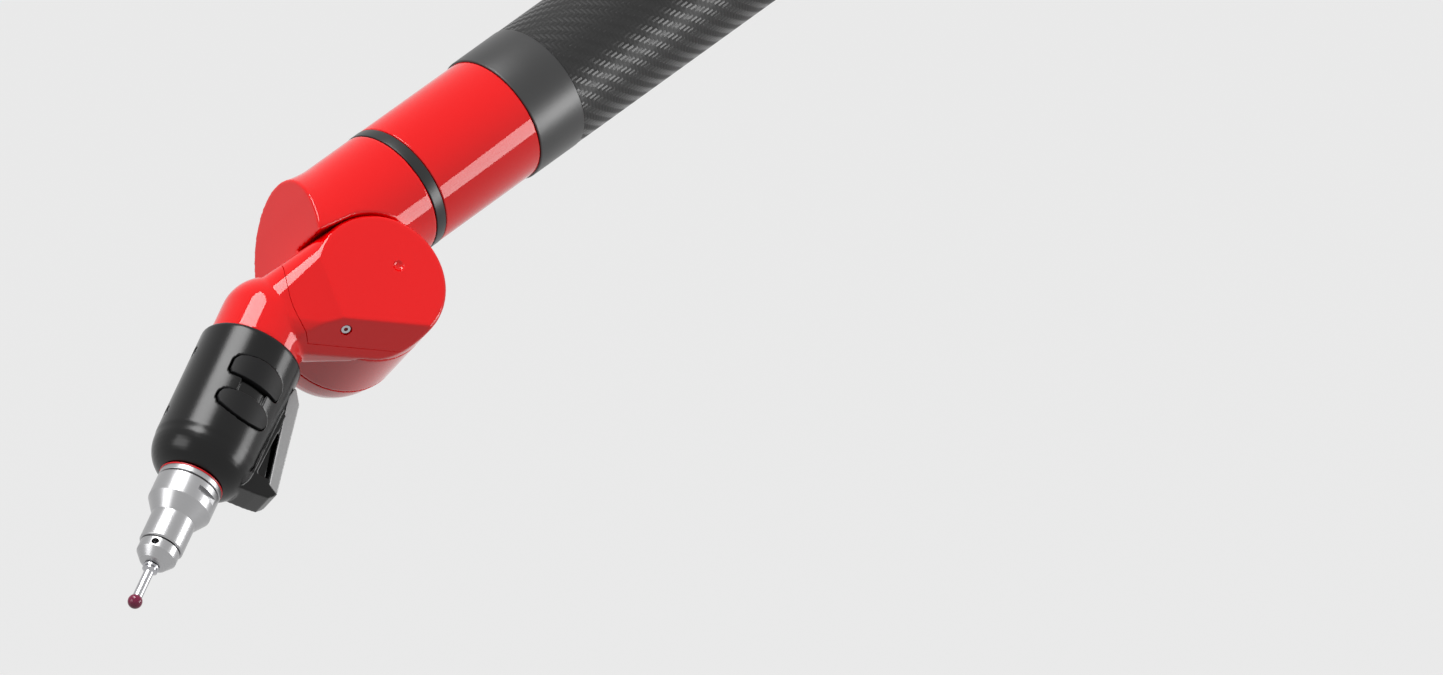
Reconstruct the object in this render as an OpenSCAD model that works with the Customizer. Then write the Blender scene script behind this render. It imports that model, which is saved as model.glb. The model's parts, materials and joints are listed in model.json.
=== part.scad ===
// Portable measuring arm with six axes: base, shoulder, carbon upper arm, elbow, carbon forearm,
// wrist and a hand-held touch probe. Millimetres, +Z up, origin at the centre of the mounting face.
// Each pitch joint is a fork on the inner link and a knuckle on the outer link. Its hinge line sits
// beside both tube axes, so the outer link can fold back along the inner one.

/* [Reach] */
// Height of the shoulder hinge above the mounting face
shoulder_z = 300; // [280:5:400]
// Shoulder hinge to elbow hinge, along the upper arm
upper_len = 450; // [420:10:700]
// Elbow hinge to wrist hinge, along the forearm
fore_len = 450; // [400:10:700]

/* [Rest pose] */
// Bend at the shoulder, from straight up
shoulder_bend = 60; // [24:1:100]
// Bend at the elbow, from straight
elbow_bend = 47; // [24:1:120]
// Turn of the wrist about the forearm
wrist_roll = 40; // [-180:1:180]
// Bend at the wrist, from straight
wrist_bend = 25; // [24:1:120]

/* [Tubes] */
// Radius of the turret column
column_r = 40; // [38:0.5:46]
// Radius of the upper arm
upper_r = 32; // [30:0.5:36]
// Radius of the forearm
fore_r = 27; // [26:0.5:28]
// Radius of the red neck above the handle
neck_r = 19; // [18:0.5:20]
// Wall of the carbon tubes
carbon_wall = 2; // [1:0.5:3]

/* [Handle and probe] */
// Radius of the black handle
handle_r = 21.5; // [21:0.5:24]
// Handle top, measured along the handle from the wrist hinge
handle_top = 45; // [44:1:50]
// Length of the handle
handle_len = 65; // [60:1:80]
// Diameter of the ruby ball
ball_d = 6; // [3:1:8]
// Travel of the two keys
key_travel = 0.8; // [0.4:0.1:1.2]

/* [Hidden] */
$fn = 64;
shoulder = 0;
elbow = 1;
wrist = 2;
fork_r = [column_r, upper_r, fore_r];           // tube radius on the inner side of each pitch joint
knuckle_r = [upper_r, fore_r, neck_r];          // tube radius on the outer side
inner_x = [for (r = fork_r) 1.06 * r];          // hinge to the axis of the inner tube
outer_x = [for (r = fork_r) 1.13 * r];          // hinge to the axis of the neck
puck_r = [for (r = fork_r) 1.04 * r];           // round part of a joint, about its hinge
dome_z = [for (r = fork_r) 1.1 * r];            // middle of the neck's domed end, from the hinge
end_slant = 35;                                 // slant of a fork's end face
end_d = [for (r = puck_r) r - 0.3];             // distance of that face from the hinge
part_y = [for (r = fork_r) -0.3 * r];           // plane where fork and knuckle meet
half_w = [for (r = fork_r) 0.93 * r];           // half width of a joint along its hinge
shaft_r = [12, 10, 8];
race_r = [22, 18, 15];                          // outer radius of the hinge bearings
race_w = [8, 8, 7];
disc_r = [28, 23, 19];                          // encoder discs
fork_len = [119, 54, 43];                       // hinge to the swivel ring, along the inner link
knuckle_len = [88, 72, handle_top];                    // hinge to the end of the neck
part_gap = 0.5;                                 // between fork and knuckle faces
run_gap = 0.6;                                  // between a puck and its pocket
race_gap = 0.03;                                // radial running clearance of shafts
min_bend = 22;                                  // straight stop of every pitch joint
seam_r = [for (r = puck_r) 1.37 * r];           // edge of a knuckle cover, about the hinge
cover_y = [for (w = half_w) -0.55 * w];         // inner face of a knuckle cover
rear_h = [for (r = puck_r) 0.72 * r];           // height of a fork's rear cover
rear_t = 3;                                     // seat depth of a fork's rear cover
ring_w = 5;                                     // swivel rings
collar_w = [28, 25];                            // grey tube collars, upper arm and forearm
spigot = 16;                                    // collar plugged into the carbon tube
roll_len = [62, 54];                            // red swivel housings
roll_shaft_r = [16, 13];
roll_race_r = [23, 19];
roll_race_w = 9;
roll_disc_r = [21, 17];
swivel_gap = 0.4;

base_r = 75;
flange_t = 12;
base_top = 128;
shell_top = shoulder_z - fork_len[shoulder] - ring_w - swivel_gap;
bolt_pcd = 130;
bolt_hole_r = 4.5;
bolt_count = 6;
pilot_r = 20;
azimuth_shaft_r = 20;
azimuth_race_r = 30;
azimuth_race_w = 12;

brow_z = handle_top + 50;                       // edge where the handle turns into its nose
nose_z = handle_top + handle_len;               // face that carries the probe
probe_r = 13.25;
board_z0 = handle_top + 4;                       // hollow of the handle, filled along by the board
board_z1 = brow_z - 2;
screw_rows = [handle_top + 12, handle_top + 42];
key_half_w = 12;
key_rows = [handle_top + 18, handle_top + 35];  // middle of the rear and the front key
key_h = 11;
key_proud = 0.9;
fin_half_w = 8;
key_turn = -8.5;                                 // keys face a little towards the fin
nose_edge = 10;

red = [0.85, 0.02, 0.03];
black = [0.07, 0.07, 0.075];
grey = [0.30, 0.30, 0.31];
carbon = [0.05, 0.05, 0.055];
alu = [0.80, 0.80, 0.82];
steel = [0.62, 0.63, 0.65];

// Frames of the links at rest. A pitch joint's frame has its hinge along Y, with the fork on the +Y
// side, the inner link below it on -Z and both tube axes on the +X side.
module at_shoulder() translate([-inner_x[shoulder], 0, shoulder_z]) children();
module at_upper() at_shoulder() rotate([0, -shoulder_bend, 0]) children();
module at_elbow() at_upper() translate([outer_x[shoulder] - inner_x[elbow], 0, upper_len]) children();
module at_forearm() at_elbow() rotate([0, -elbow_bend, 0]) children();
module at_wrist()
    at_forearm() translate([outer_x[elbow], 0, 0]) rotate([0, 0, wrist_roll])
        translate([-inner_x[wrist], 0, fore_len]) children();
module at_knuckle() at_wrist() rotate([0, -wrist_bend, 0]) children();
module at_handle() at_knuckle() translate([outer_x[wrist], 0, 0]) children();

// Shared shapes
module ring(ro, ri, z0, z1) {
    translate([0, 0, z0]) difference() {
        cylinder(r = ro, h = z1 - z0);
        translate([0, 0, -1]) cylinder(r = ri, h = z1 - z0 + 2);
    }
}

// A cylinder along Y from y0 to y1
module bar_y(r, y0, y1) translate([0, y1, 0]) rotate([90, 0, 0]) cylinder(r = r, h = y1 - y0);

// A flat outline in X and Z, extruded along Y from y0 to y1
module slab_y(y0, y1) translate([0, y1, 0]) rotate([90, 0, 0]) linear_extrude(y1 - y0) children();

// A disc about Z with a rounded upper rim
module round_puck(r, h, rim) {
    rotate_extrude() {
        square([r, h - rim]);
        square([r - rim, h]);
        translate([r - rim, h - rim]) intersection() {
            circle(rim);
            square(rim);
        }
    }
}

// The space behind the slanted end face of a fork, which runs into the puck; grown by extra
module end_space(j, extra) {
    intersection() {
        rotate([0, end_slant, 0]) translate([-200, -200, end_d[j] + extra - 400]) cube(400);
        translate([0.55 * puck_r[j] - extra, -200, -200]) cube(400);
    }
    translate([-200, -200, -400]) cube(400);
}

// The tube of a fork up to that face, grown by extra
module fork_tube(j, extra) {
    intersection() {
        translate([inner_x[j], 0, -fork_len[j]]) cylinder(r = fork_r[j] + extra, h = fork_len[j] + puck_r[j]);
        end_space(j, extra);
    }
}

// The domed end of a knuckle's neck
module dome(j) {
    translate([outer_x[j], 0, dome_z[j]]) difference() {
        sphere(r = knuckle_r[j]);
        cylinder(r = 2 * knuckle_r[j], h = 2 * knuckle_r[j]);
    }
}

// Room that a knuckle takes on its own side of the joint, at the straight stop: the puck, the domed
// end of the neck, the flank along the tangent of both circles, and the neck
function flank(d, r1, r2) = let (a = asin((r1 - r2) / norm(d)), u = d / norm(d))
    cos(a) * [u[1], -u[0]] + sin(a) * u;

module knuckle_room(j) {
    r1 = puck_r[j] + run_gap;
    r2 = knuckle_r[j] + run_gap;
    mid = [outer_x[j], dome_z[j]];
    n = flank(mid, r1, r2);
    y1 = part_y[j] + part_gap / 2;
    slab_y(-3 * half_w[j], y1) {
        circle(r1);
        rotate(min_bend) {
            translate(mid) circle(r2);
            polygon([[0, 0], (r1 - 0.1) * n, mid + (r2 - 0.1) * n, mid]);
            translate(mid + [0.1 - r2, 0]) square([2 * r2 - 0.2, knuckle_len[j]]);
        }
    }
}

// Inner half of a pitch joint: a tube with a slanted end, and a puck about the hinge
module fork(j) {
    w = half_w[j];
    difference() {
        union() {
            fork_tube(j, 0);
            bar_y(puck_r[j], -w, w);
        }
        knuckle_room(j);
        bar_y(race_r[j], -w, w - 8);
        bar_y(disc_r[j] + 1, w - 8, w - rear_t);
        bar_y(puck_r[j] - 3, w - rear_t, w + 5);
        bar_y(puck_r[j] + 0.15, w, w + 10);
    }
}

// Screwed cover over the encoder in a fork
module rear_cover(j) {
    w = half_w[j];
    bar_y(puck_r[j] - 3, w - rear_t, w);
    translate([0, w, 0]) rotate([-90, 0, 0]) round_puck(puck_r[j], rear_h[j], 0.65 * rear_h[j]);
}

// Outer half of a pitch joint as one smooth form: a puck in the fork's pocket that flows into the neck
module knuckle_form(j) {
    w = half_w[j];
    hull() {
        translate([0, part_y[j] - part_gap / 2, 0]) rotate([90, 0, 0])
            round_puck(puck_r[j], w + part_y[j] - part_gap / 2, 3, $fn = 48);
        dome(j, $fn = 40);
        translate([outer_x[j], 0, seam_r[j]])
            cylinder(r = knuckle_r[j], h = knuckle_len[j] - seam_r[j], $fn = 48);
    }
}

// The part of that form that comes off as a cover
module cover_zone(j) bar_y(seam_r[j], -2 * half_w[j], cover_y[j]);

// Room that the fork takes on its own side of the joint
module fork_room(j) {
    y0 = part_y[j] - part_gap / 2;
    bar_y(puck_r[j] + run_gap, y0, 3 * half_w[j]);
    intersection() {
        rotate([0, min_bend, 0]) fork_tube(j, run_gap);
        translate([-200, y0, -200]) cube([400, 200, 400]);
    }
}

module knuckle(j) {
    difference() {
        knuckle_form(j);
        cover_zone(j);
        fork_room(j);
        bar_y(shaft_r[j], -half_w[j], half_w[j]);
    }
}

module knuckle_cover(j) {
    difference() {
        intersection() {
            knuckle_form(j);
            cover_zone(j);
        }
        bar_y(shaft_r[j], 5 - half_w[j], half_w[j]);
    }
}

module hinge_shaft(j) {
    w = half_w[j];
    bar_y(shaft_r[j], 5 - w, w - 8);
    bar_y(shaft_r[j] / 2, w - 8, w - 4);
}

// Two ball-bearing rings, pressed into the fork
module hinge_bearings(j) {
    w = half_w[j];
    for (y = [part_y[j] + 2, w - 8 - race_w[j]])
        difference() {
            bar_y(race_r[j], y, y + race_w[j]);
            bar_y(shaft_r[j] + race_gap, y - 1, y + race_w[j] + 1);
        }
}

module encoder_disc(j) {
    w = half_w[j];
    difference() {
        bar_y(disc_r[j], w - 6.5, w - 5);
        bar_y(shaft_r[j] / 2, w - 8, w);
    }
}

// Swivel parts of the two arm tubes: k is 0 on the upper arm and 1 on the forearm. Z = 0 is the
// face of the fork that the swivel ring sits against.
module swivel_ring(r, k) ring(r + 0.1, roll_shaft_r[k], -ring_w, 0);

module swivel_shaft(k) {
    difference() {
        translate([0, 0, -roll_len[k] - 4]) cylinder(r = roll_shaft_r[k], h = roll_len[k] + 4);
        translate([0, 0, -roll_len[k] - 5]) cylinder(r = roll_shaft_r[k] - 4, h = roll_len[k] + 6);
    }
}

module swivel_housing(r, k) {
    z1 = -ring_w - swivel_gap;
    difference() {
        ring(r, roll_race_r[k], z1 - roll_len[k], z1);
        translate([0, 0, z1 - roll_len[k] - 1]) cylinder(r = roll_disc_r[k] + 3, h = 9);
    }
}

module swivel_bearings(k) {
    z1 = -ring_w - swivel_gap;
    for (z = [z1 - 3 - roll_race_w, z1 - roll_len[k] + 12])
        ring(roll_race_r[k], roll_shaft_r[k] + race_gap, z, z + roll_race_w);
}

module swivel_encoder(k) {
    z = -ring_w - swivel_gap - roll_len[k] + 3;
    ring(roll_disc_r[k], roll_shaft_r[k], z, z + 1.5);
}

// Grey collar: a ring as wide as the tube, with a spigot that plugs into it
module tube_collar(r, k) {
    ring(r + 0.7, r - 8, 0, collar_w[k]);
    ring(r + 0.5 - carbon_wall, r - 8, collar_w[k], collar_w[k] + spigot);
}

module carbon_tube(r, len) ring(r + 0.5, r + 0.5 - carbon_wall, 0, len);

// Base
module mounting_flange() color(alu) {
    difference() {
        cylinder(r = base_r, h = flange_t);
        translate([0, 0, -1]) cylinder(r = pilot_r, h = flange_t + 2);
        for (i = [0:bolt_count - 1])
            rotate([0, 0, 360 / bolt_count * (i + 0.5)]) translate([bolt_pcd / 2, 0, -1])
                cylinder(r = bolt_hole_r, h = flange_t + 2);
    }
}

module base_profile(inset) {
    polygon([[0, flange_t + inset], [58 - inset, flange_t + inset], [58 - inset, 70],
             [50 - inset, base_top - inset], [0, base_top - inset]]);
}

panel_x = 52;
panel_z = 44;

module base_housing() color(black) {
    difference() {
        rotate_extrude() base_profile(0);
        rotate_extrude() base_profile(5);
        translate([0, 0, base_top - 6]) cylinder(r = azimuth_shaft_r + 2, h = 10);
        translate([0, 0, flange_t - 1]) cylinder(r = pilot_r, h = 10);
        translate([panel_x - 3, -22, panel_z - 15]) cube([23, 44, 30]);
    }
}

// Flat plate with the power inlet and the data socket
module connector_panel() color(black) {
    difference() {
        translate([panel_x - 3, -22, panel_z - 15]) cube([3, 44, 30]);
        translate([panel_x - 2, -9, panel_z]) rotate([0, 90, 0]) cylinder(r = 6, h = 4);
        translate([panel_x - 2, 10, panel_z]) rotate([0, 90, 0]) cylinder(r = 4, h = 4);
    }
}

module base_shell() color(red) {
    difference() {
        rotate_extrude() polygon([[0, base_top], [50, base_top], [44, base_top + 30],
                                  [column_r + 0.5, shell_top], [0, shell_top]]);
        translate([0, 0, base_top - 1]) cylinder(r = azimuth_race_r, h = 100);
    }
}

module azimuth_bearings() color(steel) {
    for (z = [base_top + 2, shell_top - 3 - azimuth_race_w])
        ring(azimuth_race_r, azimuth_shaft_r + race_gap, z, z + azimuth_race_w);
}

// Turret
module azimuth_shaft() color(steel) {
    ring(azimuth_shaft_r, 12, base_top - 20, shoulder_z - fork_len[shoulder]);
}

module azimuth_encoder() color(alu) ring(34, azimuth_shaft_r, base_top - 17, base_top - 15);

module turret_ring() color(black) {
    z = shoulder_z - fork_len[shoulder];
    ring(column_r + 0.1, azimuth_shaft_r, z - ring_w, z);
}

module turret_fork() color(red) at_shoulder() fork(shoulder);

// Torsion spring round the shoulder hinge that carries the weight of the arm
spring_turns = 2;
spring_wire = 1.9;
spring_r = 18;
spring_steps = 28;

function helix(i) = [
    spring_r * cos(360 * i / spring_steps),
    spring_r * sin(360 * i / spring_steps),
    4.4 * i / spring_steps
];
function helix_ring(i) = [
    for (k = [0:7]) let (a = 45 * k, b = 360 * i / spring_steps)
        helix(i) + [spring_wire * cos(a) * cos(b), spring_wire * cos(a) * sin(b), spring_wire * sin(a)]
];

module coil_spring() {
    n = spring_turns * spring_steps;
    points = [for (i = [0:n]) each helix_ring(i)];
    sides = [for (i = [0:n - 1], k = [0:7])
        [8 * i + k, 8 * i + (k + 1) % 8, 8 * i + 8 + (k + 1) % 8, 8 * i + 8 + k]];
    caps = [[for (k = [0:7]) 7 - k], [for (k = [0:7]) 8 * n + k]];
    polyhedron(points, concat([for (s = sides) [s[3], s[2], s[1], s[0]]],
                              [for (c = caps) [for (k = [0:7]) c[7 - k]]]), convexity = 6);
}

module counterbalance_spring() color(steel)
    at_shoulder() translate([0, 17.5, 0]) rotate([90, 0, 0]) coil_spring();

// Handle, about its own axis: Z runs to the probe tip, -Y carries the keys, -X the docking fin
module handle_profile() {
    difference() {
        union() {
            translate([0, handle_top]) square([handle_r - 1, brow_z - handle_top]);
            translate([0, handle_top + 1.5]) square([handle_r, brow_z - handle_top - 1.5]);
            intersection() {
                translate([0, brow_z - 1]) square([handle_r - 0.7, nose_z - brow_z + 1]);
                translate([handle_r - 0.7 - nose_edge, nose_z - nose_edge]) union() {
                    circle(nose_edge);
                    translate([-20, -20]) square([20, 40]);
                    translate([-20, -20]) square([40, 20]);
                }
            }
        }
        translate([-1, nose_z - 8]) square([probe_r - 2, 20]);
    }
}

module fin_outline() {
    polygon([[-14, handle_top + 6], [-18, handle_top + 6], [-19.4, handle_top + 13], [-27.5, brow_z + 2.6],
             [-32.2, brow_z + 5], [-29.8, brow_z + 8], [-24.6, brow_z + 9.2], [-17, brow_z + 10.3],
             [-10, brow_z + 12]]);
}

module fin_pocket() {
    polygon([[-21.3, handle_top + 23.5], [-26.3, brow_z], [-21, brow_z]]);
}

module plate_outline() {
    polygon([[-20.4, handle_top + 8.4], [-21.3, handle_top + 8.4], [-25, handle_top + 14],
             [-32.2, brow_z + 5], [-27.5, brow_z + 2.6], [-19.4, handle_top + 13]]);
}

// Room for the keys, cut out of the handle's wall
module key_well(z, extra) {
    translate([-key_half_w - extra, -handle_r - 5, z - key_h / 2 - extra])
        cube([2 * key_half_w + 2 * extra, 12, key_h + 2 * extra]);
}

module handle_shell() color(black) at_handle() {
    difference() {
        union() {
            rotate_extrude() handle_profile();
            slab_y(-fin_half_w, fin_half_w) fin_outline();
        }
        translate([0, 0, board_z0]) cylinder(r = handle_r - 5.5, h = board_z1 - board_z0);
        rotate([0, 0, key_turn]) for (z = key_rows) key_well(z, 0.4);
        slab_y(-fin_half_w, fin_half_w) plate_outline();
        for (z = screw_rows) translate([handle_r - 2, 0, z]) rotate([0, 90, 0]) cylinder(r = 2, h = 5);
        for (s = [-1, 1]) slab_y(s > 0 ? 3 : -20, s > 0 ? 20 : -3) fin_pocket();
    }
}

// A curved key with a plunger that stands over its switch
module key_cap(z) {
    intersection() {
        translate([0, 0, z - key_h / 2]) difference() {
            cylinder(r = handle_r + key_proud, h = key_h);
            translate([0, 0, -1]) cylinder(r = handle_r - 4, h = key_h + 2);
        }
        translate([-key_half_w, -handle_r - 5, z - key_h / 2]) cube([2 * key_half_w, 10.3, key_h]);
    }
    translate([0, 0, z]) bar_y(1.5, -handle_r + 3, -handle_r + 6.5);
}

module rear_key() color(black) at_handle() rotate([0, 0, key_turn]) key_cap(key_rows[0]);
module front_key() color(black) at_handle() rotate([0, 0, key_turn]) key_cap(key_rows[1]);

// Circuit board under the keys, with a dome switch for each
module key_board() color([0.05, 0.25, 0.12]) at_handle() rotate([0, 0, key_turn]) {
    translate([-9, -12.5, board_z0]) cube([18, 1.6, board_z1 - board_z0]);
    for (z = key_rows) translate([0, 0, z]) bar_y(3, -14.1, -12.5);
}

module dock_plate() color(alu) at_handle() slab_y(-fin_half_w, fin_half_w) plate_outline();

module handle_screws() color(steel) at_handle() {
    for (z = screw_rows)
        translate([handle_r - 2, 0, z]) rotate([0, 90, 0]) cylinder(r = 2, h = 1.6);
}

module probe_seal() color(red) at_handle() ring(probe_r + 0.2, probe_r - 3, nose_z, nose_z + 0.6);

module probe_collar() color(alu) at_handle() {
    translate([0, 0, nose_z - 7]) cylinder(r = probe_r - 3, h = 7.6);
    translate([0, 0, nose_z + 0.6]) cylinder(r = probe_r, h = 2.4);
}

module probe_body() color(alu) at_handle() rotate_extrude()
    polygon([[0, nose_z + 3], [probe_r - 0.3, nose_z + 3], [probe_r, nose_z + 3.6], [probe_r, nose_z + 13],
             [9.2, nose_z + 19.5], [9.2, nose_z + 33], [0, nose_z + 33]]);

module stylus_holder() color(alu) at_handle() difference() {
    rotate_extrude() polygon([[0, nose_z + 33], [8.4, nose_z + 33], [8.4, nose_z + 37.5], [5.6, nose_z + 41.2], [3.8, nose_z + 42],
                              [0, nose_z + 42]]);
    translate([0, 0, nose_z + 35.8]) rotate([90, 0, 30]) cylinder(r = 1.2, h = 10);
}

module stylus() color(steel) at_handle() difference() {
    union() {
        translate([0, 0, nose_z + 42]) cylinder(r = 3.4, h = 3.4);
        translate([0, 0, nose_z + 45.4]) cylinder(r = 2, h = 13.6);
    }
    translate([0, 0, nose_z + 60]) sphere(r = ball_d / 2);
}

module ruby_ball() color([0.35, 0.02, 0.12]) at_handle() translate([0, 0, nose_z + 60]) sphere(r = ball_d / 2);

// Shoulder
module shoulder_bearings() color(steel) at_shoulder() hinge_bearings(shoulder);
module shoulder_rear_cover() color(red) at_shoulder() rear_cover(shoulder);
module shoulder_knuckle() color(red) at_upper() knuckle(shoulder);
module shoulder_cover() color(red) at_upper() knuckle_cover(shoulder);
module shoulder_shaft() color(steel) at_upper() hinge_shaft(shoulder);
module shoulder_encoder() color(alu) at_upper() encoder_disc(shoulder);

// Upper arm, along its own axis from the shoulder
upper_housing_z = upper_len - fork_len[elbow] - ring_w - swivel_gap - roll_len[0];
upper_tube_z = knuckle_len[shoulder] + collar_w[0];

module on_upper(z) at_upper() translate([outer_x[shoulder], 0, z]) children();

module upper_collar_rear() color(grey) on_upper(knuckle_len[shoulder]) tube_collar(upper_r, 0);
module upper_tube() color(carbon)
    on_upper(upper_tube_z) carbon_tube(upper_r, upper_housing_z - collar_w[0] - upper_tube_z);
module upper_collar_front() color(grey) on_upper(upper_housing_z) mirror([0, 0, 1]) tube_collar(upper_r, 0);
module upper_roll_housing() color(red) on_upper(upper_len - fork_len[elbow]) swivel_housing(upper_r, 0);
module upper_roll_bearings() color(steel) on_upper(upper_len - fork_len[elbow]) swivel_bearings(0);

// Elbow
module elbow_fork() color(red) at_elbow() fork(elbow);
module elbow_ring() color(black) on_upper(upper_len - fork_len[elbow]) swivel_ring(upper_r, 0);
module elbow_roll_shaft() color(steel) on_upper(upper_len - fork_len[elbow]) swivel_shaft(0);
module elbow_roll_encoder() color(alu) on_upper(upper_len - fork_len[elbow]) swivel_encoder(0);
module elbow_bearings() color(steel) at_elbow() hinge_bearings(elbow);
module elbow_rear_cover() color(red) at_elbow() rear_cover(elbow);
module elbow_knuckle() color(red) at_forearm() knuckle(elbow);
module elbow_cover() color(red) at_forearm() knuckle_cover(elbow);
module elbow_shaft() color(steel) at_forearm() hinge_shaft(elbow);
module elbow_encoder() color(alu) at_forearm() encoder_disc(elbow);

// Forearm, along its own axis from the elbow
fore_housing_z = fore_len - fork_len[wrist] - ring_w - swivel_gap - roll_len[1];
fore_tube_z = knuckle_len[elbow] + collar_w[1];

module on_fore(z) at_forearm() translate([outer_x[elbow], 0, z]) children();

module forearm_collar_rear() color(grey) on_fore(knuckle_len[elbow]) tube_collar(fore_r, 1);
module forearm_tube() color(carbon)
    on_fore(fore_tube_z) carbon_tube(fore_r, fore_housing_z - collar_w[1] - fore_tube_z);
module forearm_collar_front() color(grey) on_fore(fore_housing_z) mirror([0, 0, 1]) tube_collar(fore_r, 1);
module forearm_roll_housing() color(red) on_fore(fore_len - fork_len[wrist]) swivel_housing(fore_r, 1);
module forearm_roll_bearings() color(steel) on_fore(fore_len - fork_len[wrist]) swivel_bearings(1);

// Wrist
module wrist_fork() color(red) at_wrist() fork(wrist);
module wrist_ring() color(black) on_fore(fore_len - fork_len[wrist]) swivel_ring(fore_r, 1);
module wrist_roll_shaft() color(steel) on_fore(fore_len - fork_len[wrist]) swivel_shaft(1);
module wrist_roll_encoder() color(alu) on_fore(fore_len - fork_len[wrist]) swivel_encoder(1);
module wrist_bearings() color(steel) at_wrist() hinge_bearings(wrist);
module wrist_rear_cover() color(red) at_wrist() rear_cover(wrist);
module wrist_shaft() color(steel) at_knuckle() hinge_shaft(wrist);
module wrist_encoder() color(alu) at_knuckle() encoder_disc(wrist);
module wrist_knuckle() color(red) at_knuckle() knuckle(wrist);

// Seats of the two cover screws: a plug in the round cap, and a screw in the rim below the neck
plug_xz = [-7.7, -8];
plug_r = 1.7;
rim_screw_y = 6 - half_w[wrist];

module cap_screws(head) {
    translate([plug_xz[0], 0, plug_xz[1]]) bar_y(plug_r, -half_w[wrist] - (1 - head), 1.5 - half_w[wrist]);
    translate([0, rim_screw_y, puck_r[wrist] - 4]) cylinder(r = plug_r, h = head > 0 ? 2.5 : 12);
}

module wrist_cover() color(red) at_knuckle() difference() {
    knuckle_cover(wrist);
    cap_screws(0);
}
module cover_screws() color(black) at_knuckle() cap_screws(1);

mounting_flange();
base_housing();
base_shell();
connector_panel();
azimuth_bearings();
turret_fork();
turret_ring();
azimuth_shaft();
azimuth_encoder();
shoulder_bearings();
shoulder_rear_cover();
counterbalance_spring();
shoulder_knuckle();
shoulder_cover();
shoulder_shaft();
shoulder_encoder();
upper_collar_rear();
upper_tube();
upper_collar_front();
upper_roll_housing();
upper_roll_bearings();
elbow_fork();
elbow_ring();
elbow_roll_shaft();
elbow_roll_encoder();
elbow_bearings();
elbow_rear_cover();
elbow_knuckle();
elbow_cover();
elbow_shaft();
elbow_encoder();
forearm_collar_rear();
forearm_tube();
forearm_collar_front();
forearm_roll_housing();
forearm_roll_bearings();
wrist_fork();
wrist_ring();
wrist_roll_shaft();
wrist_roll_encoder();
wrist_bearings();
wrist_rear_cover();
wrist_knuckle();
wrist_cover();
wrist_shaft();
wrist_encoder();
cover_screws();
handle_shell();
handle_screws();
dock_plate();
key_board();
rear_key();
front_key();
probe_seal();
probe_collar();
probe_body();
stylus_holder();
stylus();
ruby_ball();
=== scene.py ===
"""Looks of the portable measuring arm: red cast joints, carbon tubes, black handle and touch probe."""
import json
import math

import bmesh
import bpy
from mathutils import Matrix, Vector


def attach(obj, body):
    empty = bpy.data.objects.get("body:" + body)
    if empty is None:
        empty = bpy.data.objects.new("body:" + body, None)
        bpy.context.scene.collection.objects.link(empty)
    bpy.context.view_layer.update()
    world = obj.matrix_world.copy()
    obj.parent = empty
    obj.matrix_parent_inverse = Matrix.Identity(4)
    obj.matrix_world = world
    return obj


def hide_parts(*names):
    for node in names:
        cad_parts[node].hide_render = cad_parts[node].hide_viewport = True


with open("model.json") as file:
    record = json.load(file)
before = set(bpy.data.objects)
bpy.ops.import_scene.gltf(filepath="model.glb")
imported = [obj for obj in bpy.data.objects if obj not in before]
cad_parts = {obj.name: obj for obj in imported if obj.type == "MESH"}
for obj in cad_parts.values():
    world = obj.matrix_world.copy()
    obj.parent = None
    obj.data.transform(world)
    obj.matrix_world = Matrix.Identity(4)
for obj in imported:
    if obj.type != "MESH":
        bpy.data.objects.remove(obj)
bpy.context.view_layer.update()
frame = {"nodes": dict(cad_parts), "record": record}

# Sizes of the arm, in millimetres, as in the part's source. Triples go shoulder, elbow, wrist
SHOULDER, ELBOW, WRIST = 0, 1, 2
FORK_R = (40.0, 32.0, 27.0)
NECK_R = (32.0, 27.0, 19.0)
INNER_X = tuple(1.06 * r for r in FORK_R)
OUTER_X = tuple(1.13 * r for r in FORK_R)
PUCK_R = tuple(1.04 * r for r in FORK_R)
DOME_Z = tuple(1.1 * r for r in FORK_R)
END_D = tuple(1.02 * r for r in PUCK_R)
END_SLANT = 35
END_TILT = 8
FORK_LEN = (119.0, 54.0, 43.0)
NECK_LEN = (88.0, 72.0, 45.0)
PART_Y = tuple(-0.3 * r for r in FORK_R)
HALF_W = tuple(0.93 * r for r in FORK_R)
CAP_W = tuple(w + 0.03 * r for w, r in zip(HALF_W, FORK_R))
REAR_H = tuple(0.72 * r for r in PUCK_R)
SEAM_R = tuple(1.37 * r for r in PUCK_R)
COVER_Y = tuple(-0.55 * w for w in HALF_W)
PART_GAP = 0.5
RUN_GAP = 0.4
SEAM_GAP = 0.12
MIN_BEND = (21.5, 22.0, 22.3)
REST_BEND = (60, 47, 25)
WRIST_ROLL = 40
SHOULDER_Z = 300.0
UPPER_LEN = 450.0
FORE_LEN = 450.0
RING_W = 5.0
SWIVEL_GAP = 0.4
HANDLE_R = 21.5
HANDLE_TOP = 45.0
BROW_Z = 95.0
NOSE_Z = 110.0
PROBE_R = 13.25
FIN_HALF_W = 8.0


def turn(degrees, axis):
    """A turn about X, Y or Z."""
    return Matrix.Rotation(math.radians(degrees), 4, axis)


def bend(degrees):
    """Folds the outer link of a hinge."""
    return turn(-degrees, "Y")


def shift(x, y, z):
    """A move without a turn."""
    return Matrix.Translation((x, y, z))


def facing(way):
    """A turn that brings Z to a direction."""
    return Vector(way).to_track_quat("Z", "Y").to_matrix().to_4x4()


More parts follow.
